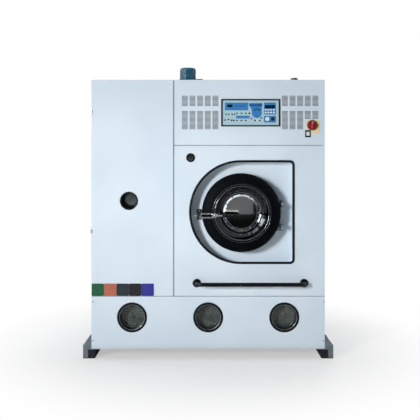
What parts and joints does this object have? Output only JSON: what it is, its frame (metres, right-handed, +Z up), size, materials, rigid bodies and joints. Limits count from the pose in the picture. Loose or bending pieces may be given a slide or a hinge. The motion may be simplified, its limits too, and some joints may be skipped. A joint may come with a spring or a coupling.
{
  "type": "dry_cleaning_machine",
  "caption": "Front-loading closed-circuit dry cleaning machine: black dished door with round glass and lever latch, pale sheet-metal cabinet, tank windows, drum and belt drive inside",
  "frame": {"origin": "centre of the bounding box, on the floor", "axes": "+X to the right seen from the front, +Y to the rear, +Z up; the front faces -Y"},
  "size_m": [1.718, 1.3223, 2.036],
  "materials": {
    "panel_white": "satin powder coat, pale blue-white",
    "frame_steel": "grey primer on welded steel",
    "foot_steel": "grey enamel",
    "door_black": "matte black coating on a cast ring",
    "trim_rubber": "black EPDM",
    "rail_black": "satin black powder coat",
    "steel_bright": "polished stainless steel",
    "steel_brushed": "brushed stainless steel",
    "tank_steel": "dull rolled stainless steel",
    "cast_dark": "painted casting",
    "brass_fitting": "machined brass",
    "copper_pipe": "drawn copper and steel pipe",
    "glass": "clear tempered glass",
    "control_plate": "satin printed foil, pale aqua",
    "display": "dark display window",
    "key_white": "satin white",
    "switch_yellow": "satin yellow",
    "switch_red": "gloss red",
    "tile_colours": "five coloured tiles",
    "motor_paint": "blue-grey enamel"
  },
  "bodies": {
    "cabinet": {"frame": "frame_steel", "feet": "foot_steel", "foot_pads": "trim_rubber", "side_panel_left": "panel_white", "side_panel_right": "panel_white", "top_panel": "panel_white", "rear_panel": "panel_white", "upper_panel": "panel_white", "front_panel": "panel_white", "lower_panel": "panel_white", "recess_pan": "panel_white", "edge_trims": "trim_rubber", "panel_screws": "steel_bright", "solvent_tanks": "tank_steel", "window_flanges": "steel_bright", "window_glasses": "glass", "handrail": "rail_black", "control_bezel": "trim_rubber", "control_housing": "control_plate", "control_displays": "display", "membrane_keys": "key_white", "switch_plate": "switch_yellow", "chimney": "steel_bright", "top_fittings": "cast_dark", "tub": "tank_steel", "bearing_housing": "cast_dark", "still": "tank_steel", "condenser": "steel_brushed", "solvent_pump": "motor_paint", "fan_housing": "frame_steel", "drive_motor": "motor_paint", "filter_housing": "tank_steel", "pipework": "copper_pipe", "rear_connections": "brass_fitting", "door_hinge_brackets": "cast_dark", "door_hinge_pins": "steel_bright", "latch_keeper": "cast_dark", "service_hinges": "steel_brushed", "drive_belt": "trim_rubber"},
    "loading_door": {"door_ring": "door_black", "door_cone": "steel_bright", "door_clamp_ring": "steel_bright", "door_bolts": "steel_bright", "door_glass": "glass", "door_gasket": "trim_rubber", "door_hinge_arm": "cast_dark"},
    "latch": {"latch_lever": "steel_bright", "latch_grip": "trim_rubber"},
    "lock": {"lock_pin": "steel_bright"},
    "drum_cage": {"drum": "steel_brushed", "drum_shaft": "steel_brushed", "drum_pulley": "cast_dark"},
    "motor_rotor": {"motor_pulley": "cast_dark"},
    "fan_rotor": {"fan_impeller": "steel_brushed"},
    "service_flap": {"service_door": "panel_white", "service_grommet": "trim_rubber", "colour_tiles": "tile_colours"},
    "switch_knob": {"main_switch_knob": "switch_red"},
    "start_push": {"start_button": "key_white"},
    "stop_push": {"stop_button": "display"}
  },
  "joints": [
    {"name": "loading_door", "type": "hinge", "parent": "cabinet", "child": "loading_door", "pos_m": [0.51, -0.565, 0.978], "axis": [0, 0, 1], "range_deg": [0, 125]},
    {"name": "latch_lever", "type": "hinge", "parent": "loading_door", "child": "latch", "pos_m": [0.046, -0.644, 0.986], "axis": [0, 1, 0], "range_deg": [0, 25], "stiffness_Nm_per_rad": 1, "springref_deg": -28.65},
    {"name": "interlock_pin", "type": "slide", "parent": "cabinet", "child": "lock", "axis": [1, 0, 0], "range_m": [0, 0.014], "stiffness_N_per_m": 300, "springref_m": -0.004},
    {"name": "service_door", "type": "hinge", "parent": "cabinet", "child": "service_flap", "pos_m": [-0.801, -0.553, 1.171], "axis": [0, 0, -1], "range_deg": [0, 110]},
    {"name": "drum_spin", "type": "hinge", "parent": "cabinet", "child": "drum_cage", "pos_m": [0.228, 0, 1.001], "axis": [0, 1, 0], "continuous": true},
    {"name": "motor_spin", "type": "hinge", "parent": "cabinet", "child": "motor_rotor", "pos_m": [0.62, 0.24, 0.5886], "axis": [0, 1, 0], "continuous": true},
    {"name": "fan_spin", "type": "hinge", "parent": "cabinet", "child": "fan_rotor", "pos_m": [-0.047, -0.26, 1.667], "axis": [0, 1, 0], "continuous": true},
    {"name": "main_switch", "type": "hinge", "parent": "cabinet", "child": "switch_knob", "pos_m": [0.714, -0.57, 1.601], "axis": [0, 1, 0], "range_deg": [0, 90]},
    {"name": "start_button", "type": "slide", "parent": "cabinet", "child": "start_push", "axis": [0, 1, 0], "range_m": [0, 0.003], "stiffness_N_per_m": 400, "springref_m": -0.002},
    {"name": "stop_button", "type": "slide", "parent": "cabinet", "child": "stop_push", "axis": [0, 1, 0], "range_m": [0, 0.003], "stiffness_N_per_m": 400, "springref_m": -0.002}
  ],
  "couplings": [
    {"joint": "motor_spin", "follows": "drum_spin", "ratio": 5.5}
  ]
}
